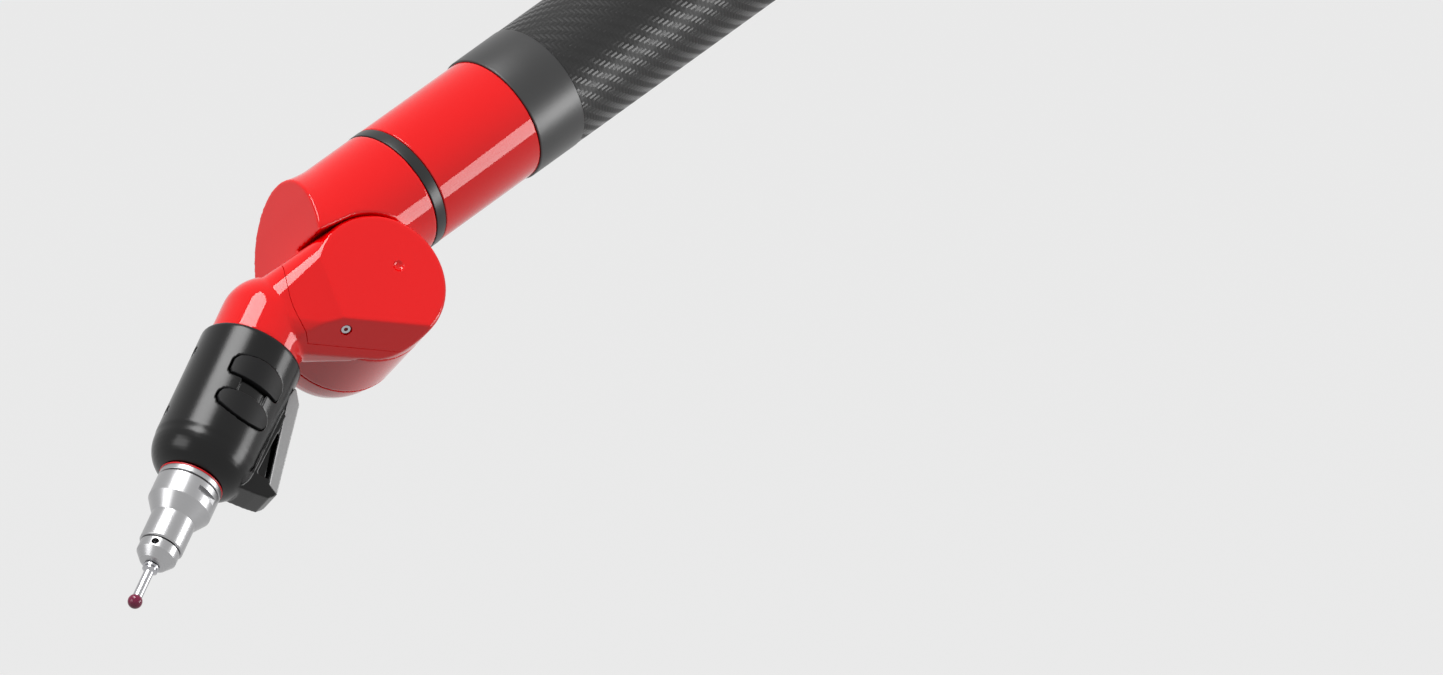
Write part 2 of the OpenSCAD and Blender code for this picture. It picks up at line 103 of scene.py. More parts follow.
# Rest frames of the links: hinge along Y, inner link below on -Z, tube axes on the +X side
AT_SHOULDER = shift(-INNER_X[SHOULDER], 0, SHOULDER_Z)
AT_UPPER = AT_SHOULDER @ bend(REST_BEND[SHOULDER])
AT_ELBOW = AT_UPPER @ shift(OUTER_X[SHOULDER] - INNER_X[ELBOW], 0, UPPER_LEN)
AT_FOREARM = AT_ELBOW @ bend(REST_BEND[ELBOW])
ON_UPPER = AT_UPPER @ shift(OUTER_X[SHOULDER], 0, 0)
ON_FOREARM = AT_FOREARM @ shift(OUTER_X[ELBOW], 0, 0)
AT_WRIST = ON_FOREARM @ turn(WRIST_ROLL, "Z") @ shift(-INNER_X[WRIST], 0, FORE_LEN)
AT_KNUCKLE = AT_WRIST @ bend(REST_BEND[WRIST])
AT_HANDLE = AT_KNUCKLE @ shift(OUTER_X[WRIST], 0, 0)
AT_BASE = Matrix()
FORK_AT = (AT_SHOULDER, AT_ELBOW, AT_WRIST)
KNUCKLE_AT = (AT_UPPER, AT_FOREARM, AT_KNUCKLE)
ALONG_Y = turn(-90, "X")
ALONG_X = turn(90, "Y")
MM = Matrix.Scale(0.001, 4)


class Wire:
    """A socket of a material; sums, differences, products and comparisons of wires add Math nodes."""

    def __init__(self, tree, socket=None):
        self.tree = tree
        self.socket = socket

    def node(self, kind, settings=None, inputs=None, out=0):
        """Adds a node with its settings and the values or wires of its inputs, and gives one output."""
        made = self.tree.nodes.new(kind)
        for name, value in (settings or {}).items():
            setattr(made, name, value)
        for name, value in (inputs or {}).items():
            if isinstance(value, Wire):
                self.tree.links.new(value.socket, made.inputs[name])
            else:
                made.inputs[name].default_value = value
        return Wire(self.tree, made.outputs[out] if made.outputs else None)

    def output(self, name):
        """Another output of the node that this wire comes from."""
        return Wire(self.tree, self.socket.node.outputs[name])

    def math(self, operation, a, b=0.0, c=0.0):
        return self.node("ShaderNodeMath", {"operation": operation}, {0: a, 1: b, 2: c})

    def __add__(self, other):
        return self.math("ADD", self, other)

    def __sub__(self, other):
        return self.math("SUBTRACT", self, other)

    def __rsub__(self, other):
        return self.math("SUBTRACT", other, self)

    def __mul__(self, other):
        return self.math("MULTIPLY", self, other)

    def __lt__(self, other):
        return self.math("LESS_THAN", self, other)

    __radd__ = __add__
    __rmul__ = __mul__


def grey(v):
    return (v, v, v, 1.0)


def times(colour, factor):
    """A colour made lighter or darker."""
    return tuple(factor * c for c in colour[:3]) + (1.0,)


def start(name):
    """A new material with its node tree emptied, and a wire that adds nodes to it."""
    material = bpy.data.materials.new(name)
    material.use_nodes = True
    material.node_tree.nodes.clear()
    return material, Wire(material.node_tree)


def close(tree, inputs):
    """Ends a material in its surface shader."""
    shader = tree.node("ShaderNodeBsdfPrincipled", {}, inputs)
    tree.node("ShaderNodeOutputMaterial", {}, {"Surface": shader})


def place_of(tree):
    """The place on the piece, in metres."""
    return tree.node("ShaderNodeTexCoord", out="Object")


def noise(tree, where, scale, detail):
    return tree.node("ShaderNodeTexNoise", {}, {"Vector": where, "Scale": scale, "Detail": detail})


def between(tree, mask, low, high):
    """Colour from low to high along a mask."""
    return tree.node("ShaderNodeMix", {"data_type": "RGBA"}, {0: mask, 6: low, 7: high}, 2)


def bump(tree, height, strength, distance):
    return tree.node("ShaderNodeBump", {}, {"Height": height, "Strength": strength, "Distance": distance})


# Patterns of the finishes, in repeats a metre, and the lines that a lathe leaves, in repeats a millimetre
LACQUER_CLOUD = 14.0
ORANGE_PEEL = 420.0
SATIN_CLOUD = 30.0
METAL_CLOUD = 60.0
METAL_GRAIN = 1400.0
LATHE_LINES = 3.5


def lacquer(name, colour, dark):
    """Glossy two-coat paint: a slightly cloudy colour under a clear coat with a trace of orange peel."""
    material, tree = start(name)
    where = place_of(tree)
    cloud = noise(tree, where, LACQUER_CLOUD, 3.0)
    peel = noise(tree, where, ORANGE_PEEL, 1.0)
    close(tree, {
        "Base Color": between(tree, cloud, dark, colour),
        "Roughness": 0.42 + 0.08 * cloud,
        "Specular IOR Level": 0.0,
        "Coat Weight": 1.0,
        "Coat Roughness": 0.04,
        "Coat IOR": 1.42,
        "Normal": bump(tree, peel, 0.004, 0.0004),
    })
    return material


def satin(name, colour, rough, grain=900.0, depth=0.06, sheen=0.5):
    """Moulded or painted satin surface with a fine grain."""
    material, tree = start(name)
    where = place_of(tree)
    fine = noise(tree, where, grain, 2.0)
    cloud = noise(tree, where, SATIN_CLOUD, 3.0)
    close(tree, {
        "Base Color": between(tree, cloud, colour, times(colour, 1.5)),
        "Roughness": rough - 0.05 + 0.1 * cloud,
        "Specular IOR Level": sheen,
        "Normal": bump(tree, fine, depth, 0.0002),
    })
    return material


def lathe_lines(tree, where, spindle):
    """Fine lines across the Z axis of a frame; where along the axis they start doesn't matter."""
    back = (spindle @ MM).inverted()
    spun = tree.node("ShaderNodeMapping", {}, {
        "Vector": where,
        "Location": back.translation,
        "Rotation": back.to_euler("XYZ"),
        "Scale": back.to_scale(),
    })
    height = tree.node("ShaderNodeSeparateXYZ", {}, {"Vector": spun}, "Z")
    line = tree.node("ShaderNodeCombineXYZ", {}, {"X": 0.0, "Y": 0.0, "Z": height})
    return noise(tree, line, LATHE_LINES, 3.0)


def metal(name, colour, rough, spindle=None, depth=0.05):
    """Turned metal where a spindle's frame is given, and milled metal with a plain grain elsewhere."""
    material, tree = start(name)
    where = place_of(tree)
    if spindle is None:
        marks = noise(tree, where, METAL_GRAIN, 2.0)
    else:
        marks = lathe_lines(tree, where, spindle)
    cloud = noise(tree, where, METAL_CLOUD, 3.0)
    close(tree, {
        "Base Color": between(tree, marks, times(colour, 0.8), colour),
        "Metallic": 1.0,
        "Roughness": rough - 0.06 + 0.12 * cloud,
        "Normal": bump(tree, marks, depth, 0.0001),
    })
    return material


def fibres(tree, across, along):
    """The streaks of fibres in a tow."""
    return noise(tree, tree.node("ShaderNodeCombineXYZ", {}, {"X": across, "Y": along}), 1.0, 1.0)


def carbon_weave(name, tow):
    """Two-by-two twill under clear resin, with the tows that lie over given a lighter base as a painted
    sheen. The tube's UV map is in metres, round and along it.
    """
    material, tree = start(name)
    uv = tree.node("ShaderNodeTexCoord", out="UV")
    round_tube = tree.node("ShaderNodeSeparateXYZ", {}, {"Vector": uv}, "X")
    across = round_tube * (1.0 / tow)
    along = round_tube.output("Y") * (1.0 / tow)
    step = tree.math("FLOOR", across) - tree.math("FLOOR", along)
    over = tree.math("WRAP", step, 4.0) < 1.5
    crown_across = tree.math("PINGPONG", across, 0.5) * 2.0
    crown_along = tree.math("PINGPONG", along, 0.5) * 2.0
    ridge = over * crown_across + (1.0 - over) * crown_along
    long_fibres = fibres(tree, across * 9.0, along * 0.8)
    round_fibres = fibres(tree, across * 0.8, along * 9.0)
    fibre = over * long_fibres + (1.0 - over) * round_fibres
    close(tree, {
        # Painted sheen: the tows that lie over get a lighter base in place of the gloss they catch along
        # their fibres, and the fibre streaks add grain
        "Base Color": between(tree, 0.55 * over + 0.3 * fibre, grey(0.001), grey(0.022)),
        "Roughness": 0.55 - 0.3 * over,
        "Specular IOR Level": 0.4,
        "Coat Weight": 0.06,
        "Coat Roughness": 0.08,
        "Normal": bump(tree, ridge + 0.25 * fibre, 0.35, 0.0003),
    })
    return material


RED = lacquer("red_lacquer", (0.86, 0.0, 0.001, 1.0), (0.78, 0.0, 0.001, 1.0))
BLACK_RING = satin("black_ring", (0.006, 0.0065, 0.0065, 1.0), 0.32, grain=700.0, depth=0.03)
BLACK_HANDLE = satin("black_handle", (0.0015, 0.0015, 0.0016, 1.0), 0.23, depth=0.02, sheen=0.34)
BLACK_KEY = satin("black_key", (0.008, 0.008, 0.0083, 1.0), 0.5, grain=1600.0, depth=0.08, sheen=0.2)
BLACK_COAT = satin("black_coat", (0.012, 0.012, 0.013, 1.0), 0.42, grain=700.0, depth=0.1, sheen=0.35)
GREY_ANODISED = satin("grey_anodised", (0.012, 0.0122, 0.0125, 1.0), 0.36,
                      grain=700.0, depth=0.05, sheen=0.75)
ALUMINIUM = metal("machined_aluminium", (0.46, 0.46, 0.468, 1.0), 0.3, spindle=AT_HANDLE, depth=0.02)
PLATE = metal("dock_aluminium", (0.36, 0.36, 0.362, 1.0), 0.5)
STEEL = metal("steel", (0.5, 0.5, 0.52, 1.0), 0.2)
RUBY = lacquer("ruby", (0.24, 0.008, 0.06, 1.0), (0.18, 0.005, 0.04, 1.0))
RED_SEAL = satin("red_seal", (0.6, 0.004, 0.01, 1.0), 0.35)
GLASS = metal("encoder_glass", (0.35, 0.38, 0.4, 1.0), 0.15)
BOARD = satin("board", (0.01, 0.06, 0.03, 1.0), 0.45)
CARBON = carbon_weave("carbon_tube", tow=0.0017)
BY_SLOT = {
    "red_lacquer": RED, "grey_anodised": GREY_ANODISED, "carbon_tube": CARBON, "black_coat": BLACK_COAT,
    "black_ring": BLACK_RING, "black_handle": BLACK_HANDLE, "black_key": BLACK_KEY,
    "machined_aluminium": ALUMINIUM, "steel": STEEL, "encoder_glass": GLASS, "board": BOARD,
    "red_plug": RED, "red_seal": RED_SEAL, "ruby": RUBY,
}
slot_of = {s["node"]: s["material_slot"] for s in frame["record"]["subparts"]}
body_of = {n: body for body, nodes in frame["record"]["behaviour"]["bodies"].items() for n in nodes}
finish_of = {node: BY_SLOT[slot] for node, slot in slot_of.items()}
for node, thing in frame["nodes"].items():
    thing.data.materials.clear()
    thing.data.materials.append(finish_of[node])


# Steps round a large turned piece and round a small hole, and a reach past every piece for cutting blocks
FINE = 192
COARSE = 48
FAR = 300.0


def raw(bm, name):
    """A scratch object in millimetres from a bmesh."""
    mesh = bpy.data.meshes.new(name)
    bm.to_mesh(mesh)
    bm.free()
    thing = bpy.data.objects.new(name, mesh)
    bpy.context.scene.collection.objects.link(thing)
    return thing


def baked(thing):
    """Applies the live modifiers of a scratch object."""
    graph = bpy.context.evaluated_depsgraph_get()
    mesh = bpy.data.meshes.new_from_object(thing.evaluated_get(graph))
    thing.modifiers.clear()
    thing.data = mesh
    return thing


def piece(thing, name, nodes, material, place, sharp=None):
    """Puts a scratch object in its place as a finished piece that stands for CAD nodes."""
    thing.name = name
    thing.data.transform(MM @ place)
    for polygon in thing.data.polygons:
        polygon.use_smooth = True
    if sharp is not None:
        thing.data.set_sharp_from_angle(angle=math.radians(sharp))
    thing.data.materials.clear()
    thing.data.materials.append(material)
    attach(thing, body_of[nodes[0]])
    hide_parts(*nodes)
    return thing


def rod(r, low, high, place=Matrix(), segments=160, r_end=None):
    """A round bar along Z from low to high, tapered where a radius for its end is given."""
    r_end = r if r_end is None else r_end
    bm = bmesh.new()
    bmesh.ops.create_cone(bm, cap_ends=True, segments=segments, radius1=r, radius2=r_end,
                          depth=high - low, matrix=place @ shift(0, 0, (low + high) / 2))
    return raw(bm, "rod")


def bar(r, low, high, x=0.0, z=0.0, segments=160):
    """A round bar along Y from low to high."""
    return rod(r, low, high, shift(x, 0, z) @ ALONG_Y, segments)


def ball(r, x, y, z):
    """A ball about a point."""
    bm = bmesh.new()
    bmesh.ops.create_uvsphere(bm, u_segments=64, v_segments=32, radius=r, matrix=shift(x, y, z))
    return raw(bm, "ball")


def block(low, high, place=Matrix()):
    """A square block between two corners."""
    bm = bmesh.new()
    size = [b - a for a, b in zip(low, high)]
    middle = [(a + b) / 2 for a, b in zip(low, high)]
    bmesh.ops.create_cube(bm, size=1.0, matrix=place @ shift(*middle) @ Matrix.Diagonal((*size, 1.0)))
    return raw(bm, "block")


def slab(outline, low, high, place=Matrix()):
    """A flat outline in X and Z, extruded along Y from low to high."""
    bm = bmesh.new()
    face = bm.faces.new([bm.verts.new((x, low, z)) for x, z in outline])
    made = bmesh.ops.extrude_face_region(bm, geom=[face])["geom"]
    top = [v for v in made if isinstance(v, bmesh.types.BMVert)]
    bmesh.ops.translate(bm, vec=(0, high - low, 0), verts=top)
    bmesh.ops.recalc_face_normals(bm, faces=bm.faces)
    bmesh.ops.transform(bm, matrix=place, verts=bm.verts)
    return raw(bm, "slab")


def joined(*things):
    """Several scratch objects as one."""
    bm = bmesh.new()
    for thing in things:
        bm.from_mesh(thing.data)
        bpy.data.objects.remove(thing)
    return raw(bm, "joined")


def carve(thing, tool, operation="DIFFERENCE", solver="EXACT"):
    """Boolean of a scratch object with a tool, which is used up."""
    cut = thing.modifiers.new("cut", "BOOLEAN")
    cut.operation = operation
    cut.solver = solver
    cut.object = tool
    baked(thing)
    bpy.data.objects.remove(tool)
    return thing


def soften(thing, voxel, rounds):
    """Remakes a scratch object as an even fine mesh and rounds its edges."""
    even = thing.modifiers.new("even", "REMESH")
    even.mode = "VOXEL"
    even.voxel_size = voxel
    baked(thing)
    bm = bmesh.new()
    bm.from_mesh(thing.data)
    for _ in range(rounds):
        bmesh.ops.smooth_vert(bm, verts=bm.verts, factor=0.5,
                              use_axis_x=True, use_axis_y=True, use_axis_z=True)
    bm.to_mesh(thing.data)
    bm.free()
    return thing


def rounded(points, radii, steps=5):
    """A profile with its corners rounded: each corner's radius is given, 0 for a sharp one."""
    out = []
    count = len(points)
    for i, (p, r) in enumerate(zip(points, radii)):
        p = Vector(p)
        if r <= 0:
            out.append(p)
            continue
        a = (Vector(points[i - 1]) - p).normalized()
        b = (Vector(points[(i + 1) % count]) - p).normalized()
        half = math.acos(max(-1.0, min(1.0, a.dot(b)))) / 2
        reach = r / math.tan(half)
        centre = p + (a + b).normalized() * (r / math.sin(half))
        first = p + a * reach - centre
        last = p + b * reach - centre
        for k in range(steps + 1):
            arm = first.lerp(last, k / steps)
            out.append(centre + arm.normalized() * r)
    return out


def turned(points, radii=None, steps=160, closed=True):
    """A profile of (radius, height) spun about Z. An open one starts and ends on the axis."""
    path = rounded(points, radii) if radii else [Vector(p) for p in points]
    bm = bmesh.new()
    verts = [bm.verts.new((p[0], 0, p[1])) for p in path]
    pairs = list(zip(verts, verts[1:]))
    if closed:
        pairs.append((verts[-1], verts[0]))
    edges = [bm.edges.new(pair) for pair in pairs]
    bmesh.ops.spin(bm, geom=verts + edges, cent=(0, 0, 0), axis=(0, 0, 1), angle=2 * math.pi,
                   steps=steps, use_merge=True)
    bmesh.ops.remove_doubles(bm, verts=bm.verts, dist=1e-4)
    bmesh.ops.recalc_face_normals(bm, faces=bm.faces)
    return raw(bm, "turned")


def ring(ro, ri, low, high, edge):
    """A ring with rounded outer edges."""
    return turned([(ri, low), (ro, low), (ro, high), (ri, high)], [0, edge, edge, 0])


# Joints, with shares of their radii. A facet has the way it faces in X and Z, where it starts as a share of
# the puck's radius, and its run and drop
END_REACH = 1.4
END_INNER = 0.55
FLARE = 0.085
FLARE_REACH = 0.45
FLARE_LOW = 0.7
FLARE_RISE = 0.9
CAP_RIM = 0.07
RIM_STEPS = 8
NECK_BALL = 0.88
NECK_BALL_IN = 0.1
NECK_BALL_ASIDE = 0.08
NECK_BALL_LOW = 0.93
POCKET_BALL = 0.94
FACETS = (((0.70, 0.71), 0.79, 20.0, 7.5), ((-0.45, 0.893), 0.66, 9.6, 16.0))
VOXEL = (1.1, 0.8, 0.6)


def share(value):
    """A number held between 0 and 1."""
    return max(0.0, min(1.0, value))


def fork_tube(j, extra):
    """Tube of a fork up to its slanted end face, which runs into the boss round the hinge."""
    tube = rod(FORK_R[j] + extra, -FORK_LEN[j], END_REACH * PUCK_R[j], shift(INNER_X[j], 0, 0), FINE)
    slant = turn(END_SLANT, "Y") @ shift(0, 0, END_D[j] + extra) @ turn(END_TILT, "X")
    carve(tube, block((-FAR, -FAR, 0), (FAR, FAR, FAR), slant))
    carve(tube, block((-FAR, -FAR, 0), (END_INNER * PUCK_R[j] - extra, FAR, FAR)))
    return tube


def flare(shell, j):
    """Widens the end of a fork's tube a little, most at the top, so that its rim stands proud."""
    across = turn(END_SLANT, "Y") @ turn(END_TILT, "X") @ Vector((0, 0, 1))
    reach = FLARE_REACH * FORK_R[j]
    for vertex in shell.data.vertices:
        p = vertex.co
        near = share((p.dot(across) - END_D[j] + reach) / reach)
        top = share((p.x - FLARE_LOW * PUCK_R[j]) / (FLARE_RISE * PUCK_R[j]))
        swell = FLARE * near ** 2 * top
        vertex.co = (p.x + swell * (p.x - INNER_X[j]), p.y * (1 + 0.5 * swell), p.z)
    return shell


def flank(mid, r1, r2):
    """The way that the straight side round two circles faces, one at the hinge and one at a point."""
    long = mid.length
    a = math.asin((r1 - r2) / long)
    u = mid / long
    return math.cos(a) * Vector((u[1], -u[0])) + math.sin(a) * u


def fork_shell(j):
    """Tube with a slanted end, a boss round the hinge and a pocket for the knuckle."""
    y1 = PART_Y[j] + PART_GAP / 2
    shell = fork_tube(j, 0)
    carve(shell, bar(PUCK_R[j], y1, HALF_W[j]), "UNION")
    r1 = PUCK_R[j] + RUN_GAP
    r2 = POCKET_BALL * NECK_R[j] + RUN_GAP
    mid = Vector((OUTER_X[j], DOME_Z[j]))
    n = flank(mid, r1, r2)
    low = -3 * HALF_W[j]
    carve(shell, bar(r1, low, y1))
    stop = bend(MIN_BEND[j])
    drum = bar(r2, low, y1, mid[0], mid[1])
    drum.data.transform(stop)
    carve(shell, drum)
    carve(shell, slab([(0, 0), r1 * n, mid + r2 * n, mid], low, y1, stop))
    return shell


def facet(j, way, near, run, drop):
    """A cutting block whose face starts on the cap, at a distance from the hinge, and falls back."""
    out = Vector((way[0], 0, way[1])).normalized()
    fall = (run * out + drop * Vector((0, 1, 0))).normalized()
    lift = (drop * out - run * Vector((0, 1, 0))).normalized()
    place = Matrix((fall.cross(lift), fall, lift)).transposed().to_4x4()
    place.translation = near * PUCK_R[j] * out - Vector((0, CAP_W[j], 0))
    return block((-FAR, -FAR, 0), (FAR, FAR, FAR), place)


def neck_form(j):
    """A round neck with a domed end."""
    r = NECK_R[j]
    arc = [math.radians(6 * k) for k in range(16)]
    dome = [(r * math.sin(a), DOME_Z[j] - r * math.cos(a)) for a in arc]
    neck = turned(dome + [(r, NECK_LEN[j]), (0, NECK_LEN[j])], None, FINE, False)
    neck.data.transform(shift(OUTER_X[j], 0, 0))
    return neck


def knuckle_form(j):
    """A puck in the fork's pocket that runs into the domed end of a round neck."""
    r = NECK_R[j]
    rim = CAP_RIM * FORK_R[j]
    rings = [(PUCK_R[j], PART_Y[j] - PART_GAP / 2)]
    for k in range(RIM_STEPS + 1):
        a = math.radians(90 * k / RIM_STEPS)
        rings.append((PUCK_R[j] - rim + rim * math.cos(a), -CAP_W[j] + rim - rim * math.sin(a)))
    bm = bmesh.new()
    for radius, y in rings:
        bmesh.ops.create_circle(bm, segments=FINE, radius=radius, matrix=shift(0, y, 0) @ ALONG_Y)
    neck_ball = shift(OUTER_X[j] - NECK_BALL_IN * r, -NECK_BALL_ASIDE * r, NECK_BALL_LOW * DOME_Z[j])
    bmesh.ops.create_uvsphere(bm, u_segments=128, v_segments=64, radius=NECK_BALL * r, matrix=neck_ball)
    bmesh.ops.delete(bm, geom=list(bm.faces), context="FACES_ONLY")
    hull = bmesh.ops.convex_hull(bm, input=bm.verts, use_existing_faces=False)
    spare = hull["geom_interior"] + hull["geom_unused"]
    inside = {g for g in spare if isinstance(g, bmesh.types.BMVert)}
    bmesh.ops.delete(bm, geom=list(inside), context="VERTS")
    bmesh.ops.delete(bm, geom=[e for e in bm.edges if not e.link_faces], context="EDGES")
    bmesh.ops.delete(bm, geom=[v for v in bm.verts if not v.link_faces], context="VERTS")
    bmesh.ops.recalc_face_normals(bm, faces=bm.faces)
    body = raw(bm, "knuckle")
    for way, near, run, drop in FACETS:
        carve(body, facet(j, way, near, run, drop), "DIFFERENCE", "MANIFOLD")
    return carve(body, neck_form(j), "UNION", "MANIFOLD")


def knuckle_shell(j):
    """The knuckle with room cut for its fork, as far as the stop near straight."""
    y0 = PART_Y[j] - PART_GAP / 2
    form = knuckle_form(j)
    carve(form, bar(PUCK_R[j] + RUN_GAP, y0, 3 * HALF_W[j]), "DIFFERENCE", "MANIFOLD")
    room = fork_tube(j, RUN_GAP)
    room.data.transform(turn(MIN_BEND[j], "Y"))
    carve(room, block((-FAR, y0, -FAR), (FAR, FAR, FAR)), "INTERSECT")
    carve(form, room, "DIFFERENCE", "MANIFOLD")
    return form


def cap_seam(j, grow):
    """The round bar that parts a knuckle's cap from its body."""
    return bar(SEAM_R[j] + grow, -2 * HALF_W[j], COVER_Y[j] + grow, segments=256)


def rear_cap(j):
    """A deep domed cap with a spigot, on the rear end of a hinge."""
    w, h, r = HALF_W[j], REAR_H[j], PUCK_R[j]
    spigot_r = r - 3.3
    rim_y = w + 0.25
    top_y = w + 1.12 * h
    profile = [(0, w - 1), (spigot_r, w - 1), (spigot_r, rim_y), (r, rim_y),
               (0.93 * r, w + 0.5 * h), (0.8 * r, top_y), (0, top_y)]
    cap = turned(profile, [0, 0, 0, 0.3, 0.6 * r, 0.4 * r, 0], FINE, False)
    cap.data.transform(ALONG_Y)
    return cap


# The wrist's cap has a plugged dimple, and a screw on its lower facet
DIMPLE_R = 3.2
DIMPLE_AT = (-4.0, -HALF_W[WRIST] - 2.9, -9.1)
SCREW_AT = shift(3.4, -20.9, 25.8) @ facing((-0.386, -0.514, 0.765))
SCREW_WELL_R = 2.5
JOINTS = (("turret_fork", "shoulder"), ("elbow_fork", "elbow"), ("wrist_fork", "wrist"))
for j, (fork, limb) in enumerate(JOINTS):
    piece(flare(soften(fork_shell(j), VOXEL[j], 3), j), fork + "_shell", [fork], RED, FORK_AT[j])
    piece(rear_cap(j), limb + "_rear_cap", [limb + "_rear_cover"], RED, FORK_AT[j], sharp=40)
    form = soften(knuckle_shell(j), VOXEL[j], 4)
    lid = raw(bmesh.new(), "lid")
    lid.data = form.data.copy()
    carve(form, cap_seam(j, SEAM_GAP), "DIFFERENCE", "MANIFOLD")
    carve(lid, cap_seam(j, -SEAM_GAP), "INTERSECT", "MANIFOLD")
    if j == WRIST:
        carve(lid, ball(DIMPLE_R, *DIMPLE_AT), "DIFFERENCE", "MANIFOLD")
        carve(lid, rod(SCREW_WELL_R, -1.6, 12, SCREW_AT, COARSE), "DIFFERENCE", "MANIFOLD")
    piece(form, limb + "_knuckle_shell", [limb + "_knuckle"], RED, KNUCKLE_AT[j], sharp=30)
    piece(lid, limb + "_cap", [limb + "_cover"], RED, KNUCKLE_AT[j], sharp=30)


# Swivels, collars and tubes
SLEEVE_WALL = 9
RING_PROUD = 0.1
COLLAR_PROUD = 0.7
COLLAR_WALL = 8
WEAVE_PROUD = 0.5
WEAVE_INSIDE = 1.5


def weave_tube(r, low, high):
    """A carbon tube with a UV map in metres, round and along it."""
    ro, ri = r + WEAVE_PROUD, r - WEAVE_INSIDE
    tube = turned([(ri, low), (ro, low), (ro, high), (ri, high)], None, FINE)
    wrap = tube.data.uv_layers.new(name="wrap")
    for polygon in tube.data.polygons:
        middle = math.atan2(polygon.center[1], polygon.center[0])
        for i in polygon.loop_indices:
            p = tube.data.vertices[tube.data.loops[i].vertex_index].co
            angle = math.atan2(p[1], p[0])
            angle += 2 * math.pi * round((middle - angle) / (2 * math.pi))
            wrap.data[i].uv = (angle * r * 0.001, p[2] * 0.001)
    return tube


# Limb, its frame, radius, upper and lower end, widths of its collars and roll housing, ring at its top
TUBES = (
    ("upper", ON_UPPER, 32.0, UPPER_LEN - FORK_LEN[ELBOW], NECK_LEN[SHOULDER], 28.0, 62.0, "elbow_ring"),
    ("forearm", ON_FOREARM, 27.0, FORE_LEN - FORK_LEN[WRIST], NECK_LEN[ELBOW], 25.0, 54.0, "wrist_ring"),
)
for limb, place, r, top, low, collar_w, roll_w, ring_node in TUBES:
    swivel = ring(r + RING_PROUD, r - SLEEVE_WALL, top - RING_W, top, 0.4)
    piece(swivel, ring_node + "_turned", [ring_node], BLACK_RING, place, sharp=35)
    z1 = top - RING_W - SWIVEL_GAP
    z0 = z1 - roll_w
    sleeve = ring(r, r - SLEEVE_WALL, z0, z1, 0.6)
    piece(sleeve, limb + "_roll_sleeve", [limb + "_roll_housing"], RED, place, sharp=35)
    for end, a, b in (("front", z0 - collar_w, z0), ("rear", low, low + collar_w)):
        node = "%s_collar_%s" % (limb, end)
        collar = ring(r + COLLAR_PROUD, r - COLLAR_WALL, a, b, 0.5)
        piece(collar, node + "_turned", [node], GREY_ANODISED, place, sharp=35)
    tube = weave_tube(r, low + collar_w, z0 - collar_w)
    piece(tube, limb + "_weave_tube", [limb + "_tube"], CARBON, place, sharp=35)


# Handle: a turned body with a fat nose, a docking fin on the -X side and two keys on the -Y side
def mirrored(half):
    """A symmetrical outline from its half on the +X side, which starts on the middle line."""
    return half + [(-x, z) for x, z in reversed(half) if x > 0]


def grown(outline, by):
    """An outline pushed out from its middle."""
    middle = sum((Vector(p) for p in outline), Vector((0, 0))) / len(outline)
    return [Vector(p) + (Vector(p) - middle).normalized() * by for p in outline]


HANDLE_EDGE = 1.6
NOSE_END_R = HANDLE_R - 11.3
NOSE_SWELL = 11
NOSE_LEN = 13
ARC = [math.radians(10 * k) for k in range(10)]
NOSE = [(NOSE_END_R + NOSE_SWELL * math.cos(a), NOSE_Z - NOSE_LEN + NOSE_LEN * math.sin(a)) for a in ARC]
TOP_EDGE = [(HANDLE_R - HANDLE_EDGE + HANDLE_EDGE * math.sin(a),
             HANDLE_TOP + HANDLE_EDGE - HANDLE_EDGE * math.cos(a)) for a in ARC]
FIN = [(-14, 51), (-18, 51), (-19.4, 58), (-27.5, 97.6), (-32.2, 100), (-29.8, 103), (-24.6, 104.2),
       (-17, 105.3), (-10, 107)]
FIN_POCKET = [(-21.3, 68.5), (-26.5, 95.5), (-20.6, 95.5)]
FIN_WEB = 3
FIN_PLATE = [(-20.4, 53.4), (-21.3, 53.4), (-25, 59), (-32.2, 100), (-27.5, 97.6), (-19.4, 58)]
PLATE_GAP = 0.1
RIDGE_LOW = Vector((-21.6, 0, 66))
RIDGE = Vector((-20.3, 0, 96)) - RIDGE_LOW
RIDGE_R = (0.6, 1.2)
RIDGE_Y = FIN_HALF_W - 0.4
REAR_KEY = mirrored([(0, 57.5), (4, 57.8), (8, 58.7), (10.6, 59.9), (11.8, 62.2), (11.8, 66.9), (10.9, 68.3)])
FRONT_KEY = mirrored([(0, 74.6), (4.5, 74.9), (9, 75.9), (11, 77), (11.8, 79), (11.8, 81), (10.4, 83),
                      (8, 84), (4, 85.1), (0, 85.4)])
KEY_VALLEY = [(-6, 67), (6, 67), (6, 77.5), (-6, 77.5)]
VALLEY_DEPTH = 1.5
KEYS_AT = turn(-10, "Z")
KEY_GAP = 0.4
KEY_DEPTH = 3.6
KEY_PROUD = 0.8
WELL_DEPTH = 5.6
HANDLE_SCREWS = [shift(0, 0, HANDLE_TOP + z) @ ALONG_X for z in (12, 42)]

profile = [(0, HANDLE_TOP)] + TOP_EDGE + [(HANDLE_R, BROW_Z)] + NOSE + [(0, NOSE_Z)]
handle = turned(profile, None, FINE, False)
carve(handle, slab(FIN, -FIN_HALF_W, FIN_HALF_W), "UNION")
carve(handle, slab(grown(FIN_PLATE, PLATE_GAP), -FIN_HALF_W - 1, FIN_HALF_W + 1))
for low, high in ((FIN_WEB, 20), (-20, -FIN_WEB)):
    carve(handle, slab(FIN_POCKET, low, high))
for y in (-RIDGE_Y, RIDGE_Y):
    foot = shift(*RIDGE_LOW) @ shift(0, y, 0) @ facing(RIDGE)
    carve(handle, rod(RIDGE_R[0], 0, RIDGE.length, foot, COARSE, RIDGE_R[1]), "UNION")
valley = slab(KEY_VALLEY, -HANDLE_R - 5, -HANDLE_R + 8, KEYS_AT)
carve(valley, rod(HANDLE_R - VALLEY_DEPTH, 40, 100))
carve(handle, valley)
for outline in (REAR_KEY, FRONT_KEY):
    carve(handle, slab(grown(outline, KEY_GAP), -HANDLE_R - 5, -HANDLE_R + WELL_DEPTH, KEYS_AT))
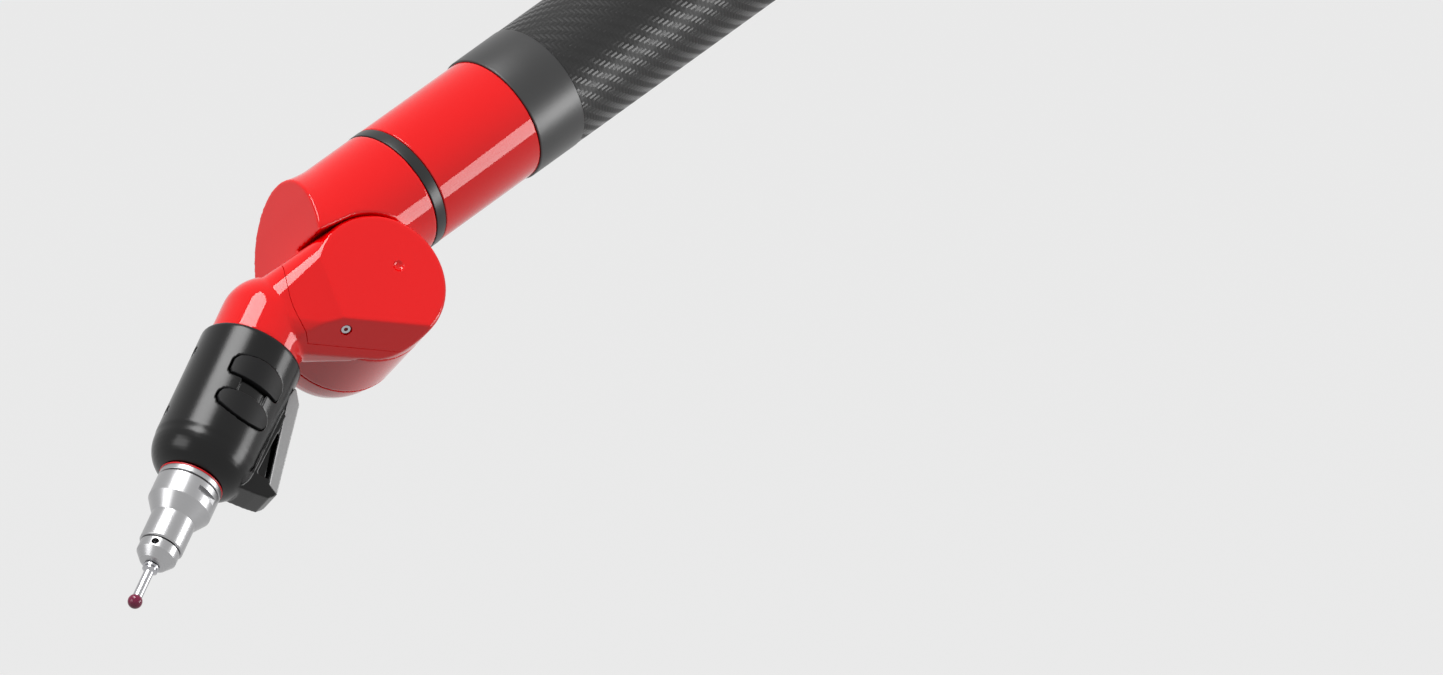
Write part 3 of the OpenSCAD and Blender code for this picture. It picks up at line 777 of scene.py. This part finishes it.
for place in HANDLE_SCREWS:
    carve(handle, rod(2.3, HANDLE_R - 2.4, HANDLE_R + 3, place, COARSE))
piece(soften(handle, 0.42, 3), "handle_moulding", ["handle_shell"], BLACK_HANDLE, AT_HANDLE)

for node, outline in (("rear_key", REAR_KEY), ("front_key", FRONT_KEY)):
    key = slab(outline, -HANDLE_R - 3, -HANDLE_R + KEY_DEPTH, KEYS_AT)
    carve(key, rod(HANDLE_R + KEY_PROUD, 40, 100, segments=256), "INTERSECT")
    piece(soften(key, 0.22, 3), node + "_cap", [node], BLACK_KEY, AT_HANDLE)

plate = slab(FIN_PLATE, -FIN_HALF_W, FIN_HALF_W)
piece(soften(plate, 0.3, 2), "dock_plate_milled", ["dock_plate"], PLATE, AT_HANDLE)


def screw_head(r, low, high, socket_r, socket_low, place):
    """A round screw head with a hexagon socket."""
    return carve(rod(r, low, high, place, COARSE), rod(socket_r, socket_low, high + 3, place, 6))


heads = [screw_head(1.95, HANDLE_R - 2, HANDLE_R - 0.5, 1.1, HANDLE_R - 1.5, at) for at in HANDLE_SCREWS]
piece(joined(*heads), "handle_screw_heads", ["handle_screws"], STEEL, AT_HANDLE, sharp=30)
screw = screw_head(1.9, -4, -0.5, 0.95, -1.7, SCREW_AT)
piece(screw, "cap_screw", ["cover_screws"], STEEL, AT_KNUCKLE, sharp=30)


# Probe, turned, with heights from the end of the handle's nose
def probe_part(profile, radii=None, steps=160):
    """A turned piece of the probe."""
    return turned([(r, NOSE_Z + z) for r, z in profile], radii, steps, False)


SEAL_H = 0.6
SPIGOT_R = PROBE_R - 3
COLLAR = [(0, -7), (SPIGOT_R, -7), (SPIGOT_R, SEAL_H), (PROBE_R, SEAL_H), (PROBE_R, 2.9), (0, 2.9)]
BODY = [(0, 3.1), (12.6, 3.1), (PROBE_R, 3.7), (PROBE_R, 13.0), (9.2, 19.5), (9.2, 32.3), (8.7, 32.8),
        (0, 32.8)]
SLOT_LOW = (-14.5, -PROBE_R - 3, NOSE_Z + 6.4)
SLOT_HIGH = (3, 2.0 - PROBE_R, NOSE_Z + 9.0)
HOLDER = [(0, 33), (8.1, 33), (8.4, 33.4), (8.4, 37.5), (5.6, 41.2), (3.8, 42), (0, 42)]
HOLDER_HOLE = shift(0, 0, NOSE_Z + 35.5) @ turn(30, "Z") @ turn(90, "X")
STEM = [(0, 42), (2.5, 42), (3.4, 42.5), (3.4, 43.3), (2.7, 43.6), (2.7, 44.2), (3.2, 44.5), (2.0, 45.4),
        (2.0, 57.9), (0, 57.9)]
TIP_R = 3.0
TIP_Z = 60

seal = ring(PROBE_R + 0.2, SPIGOT_R, NOSE_Z, NOSE_Z + SEAL_H, 0.15)
piece(seal, "seal_ring", ["probe_seal"], RED_SEAL, AT_HANDLE, sharp=35)
collar = probe_part(COLLAR, [0, 0, 0, 0.2, 0.35, 0])
piece(collar, "probe_collar_turned", ["probe_collar"], ALUMINIUM, AT_HANDLE, sharp=30)
body = probe_part(BODY, [0, 0, 0.3, 0.5, 0.8, 0.4, 0, 0])
carve(body, block(SLOT_LOW, SLOT_HIGH, turn(-20, "Z")))
piece(body, "probe_body_turned", ["probe_body"], ALUMINIUM, AT_HANDLE, sharp=30)
holder = probe_part(HOLDER, [0, 0, 0, 0.4, 0.5, 0, 0])
carve(holder, rod(1.5, 1, 12, HOLDER_HOLE, COARSE))
piece(holder, "stylus_holder_turned", ["stylus_holder"], ALUMINIUM, AT_HANDLE, sharp=30)
piece(probe_part(STEM, steps=96), "stylus_stem", ["stylus"], STEEL, AT_HANDLE, sharp=30)
piece(ball(TIP_R, 0, 0, NOSE_Z + TIP_Z), "ruby_tip", ["ruby_ball"], RUBY, AT_HANDLE)

# Base
PILOT_R = 20
FLANGE_R = 75
FLANGE_H = 12
BOLT_CIRCLE_R = 65
BOLT_R = 4.5
BOLTS = 6
HOUSING = [(20, 12.2), (58, 12.2), (58, 70), (50, 127.9), (22, 127.9), (22, 123), (45.2, 123), (53, 69.6),
           (53, 17), (20, 17)]
PANEL_Z = 44
PANEL_X = (49, 52)
PANEL_HALF_W = 22
PANEL_HALF_H = 15
PANEL_GAP = 0.15
SOCKETS = ((-9, 6.0), (10, 4.0))
COWL = [(30, 128.1), (50, 128.1), (44, 158), (40.5, 175.6), (30, 175.6)]

flange = turned([(PILOT_R, 0), (FLANGE_R, 0), (FLANGE_R, FLANGE_H), (PILOT_R, FLANGE_H)],
                [0.8, 1.0, 1.5, 0.8], FINE)
for k in range(BOLTS):
    hole = turn(360 / BOLTS * (k + 0.5), "Z") @ shift(BOLT_CIRCLE_R, 0, 0)
    carve(flange, rod(BOLT_R, -1, FLANGE_H + 2, hole, COARSE))
    carve(flange, rod(BOLT_R, FLANGE_H - 0.8, FLANGE_H + 0.2, hole, COARSE, 5.6))
piece(flange, "flange_turned", ["mounting_flange"], finish_of["mounting_flange"], AT_BASE, sharp=30)

housing = turned(HOUSING, [0, 1.5, 14, 2.0, 0.5, 0, 0, 0, 0, 0], FINE)
window_w = PANEL_HALF_W + PANEL_GAP
window_h = PANEL_HALF_H + PANEL_GAP
carve(housing, block((PANEL_X[0] - 0.2, -window_w, PANEL_Z - window_h), (80, window_w, PANEL_Z + window_h)))
piece(housing, "housing_cast", ["base_housing"], finish_of["base_housing"], AT_BASE, sharp=30)

panel = block((PANEL_X[0], -PANEL_HALF_W, PANEL_Z - PANEL_HALF_H),
              (PANEL_X[1], PANEL_HALF_W, PANEL_Z + PANEL_HALF_H))
for y, r in SOCKETS:
    middle = shift(0, y, PANEL_Z) @ ALONG_X
    carve(panel, rod(r, 50, 55, middle, 64))
    carve(panel, rod(0.42 * r, 49.8, 51.6, middle, 32), "UNION")
piece(panel, "socket_panel", ["connector_panel"], finish_of["connector_panel"], AT_BASE, sharp=30)

cowl = turned(COWL, [0, 1.2, 20, 0.8, 0], FINE)
piece(cowl, "base_cowl", ["base_shell"], RED, AT_BASE, sharp=30)
piece(ring(40.1, 20, 176, 181, 0.4), "turret_ring_turned", ["turret_ring"], BLACK_RING, AT_BASE, sharp=35)

# Camera at the photograph's angle, in degrees, far off as through a long lens, in metres
AZIMUTH = -132.28195
ELEVATION = 18.28705
ROLL = -1.94115
DISTANCE = 12.0
VIEW_WIDTH = 0.577
SENSOR = 36.0
AIM_RIGHT = 0.1450
AIM_UP = -0.0136
VIEW = turn(AZIMUTH + 90, "Z") @ turn(90 - ELEVATION, "X") @ turn(ROLL, "Z")
RIGHT, UP, BACK = [axis.copy() for axis in VIEW.to_3x3().col]
WRIST_POINT = 0.001 * AT_WRIST.translation
aim = WRIST_POINT + AIM_RIGHT * RIGHT + AIM_UP * UP
camera_data = bpy.data.cameras.new("camera")
camera_data.sensor_width = SENSOR
camera_data.lens = SENSOR * DISTANCE / VIEW_WIDTH
camera_data.clip_end = 100.0
camera = bpy.data.objects.new("camera", camera_data)
camera.matrix_world = shift(*(aim + DISTANCE * BACK)) @ VIEW
bpy.context.scene.collection.objects.link(camera)
bpy.context.scene.camera = camera
bpy.context.scene.view_settings.view_transform = "Standard"


# Light
def softbox(name, towards, distance, width, height, power, along=Vector((0, 0, 1))):
    """A large soft lamp, seen from the wrist in a direction given along the picture's right, up and front.

    Its height runs along a given direction in space.
    """
    lamp = bpy.data.lights.new(name, "AREA")
    lamp.shape = "RECTANGLE"
    lamp.size = width
    lamp.size_y = height
    lamp.energy = power
    thing = bpy.data.objects.new(name, lamp)
    way = (towards[0] * RIGHT + towards[1] * UP + towards[2] * BACK).normalized()
    side = along.cross(way).normalized()
    thing.matrix_world = Matrix((side, way.cross(side), way)).transposed().to_4x4()
    thing.location = WRIST_POINT + distance * way
    bpy.context.scene.collection.objects.link(thing)


FOREARM_WAY = AT_FOREARM.to_3x3() @ Vector((0, 0, 1))
softbox("key_box", (-0.2, 0.86, 0.37), 2.2, 1.4, 0.9, 42.0)
softbox("side_box", (0.95, -0.08, 0.14), 2.2, 0.8, 1.6, 28.0, FOREARM_WAY)
softbox("left_box", (-0.8, 0.2, 0.55), 2.4, 1.3, 1.3, 16.0)


def seen_plainly(tree):
    """1 for what is seen straight, in a gloss or through glass, and 0 for the light on the object."""
    straight = tree.node("ShaderNodeLightPath", out="Is Camera Ray")
    seen = straight
    for name in ("Is Glossy Ray", "Is Transmission Ray"):
        seen = tree.math("MAXIMUM", seen, straight.output(name))
    return seen


ROOM_LIGHT = 0.25
BACKDROP = grey(0.8)
world = bpy.data.worlds.new("studio")
world.use_nodes = True
world.node_tree.nodes.clear()
sky = Wire(world.node_tree)
dim = sky.node("ShaderNodeBackground", {}, {"Color": grey(1.0), "Strength": ROOM_LIGHT})
pale = sky.node("ShaderNodeBackground", {}, {"Color": BACKDROP, "Strength": 1.0})
both = sky.node("ShaderNodeMixShader", {}, {0: seen_plainly(sky), 1: dim, 2: pale})
sky.node("ShaderNodeOutputWorld", {}, {"Surface": both})
bpy.context.scene.world = world

# Floor. The arm reaches below its bench, so the floor lies lower than the base, as under a stand
FLOOR_Z = -0.75
FLOOR_HALF = 30.0
GLOW_SHARE = 0.8
floor_material, tree = start("floor")
matt = tree.node("ShaderNodeBsdfDiffuse", {}, {"Color": grey(0.25)})
glow = tree.node("ShaderNodeEmission", {}, {"Color": grey(1.0), "Strength": 1.0})
both = tree.node("ShaderNodeMixShader", {}, {0: seen_plainly(tree) * GLOW_SHARE, 1: matt, 2: glow})
tree.node("ShaderNodeOutputMaterial", {}, {"Surface": both})
bm = bmesh.new()
bmesh.ops.create_grid(bm, x_segments=1, y_segments=1, size=FLOOR_HALF, matrix=shift(0, 0, FLOOR_Z))
floor = raw(bm, "floor")
floor.data.materials.append(floor_material)
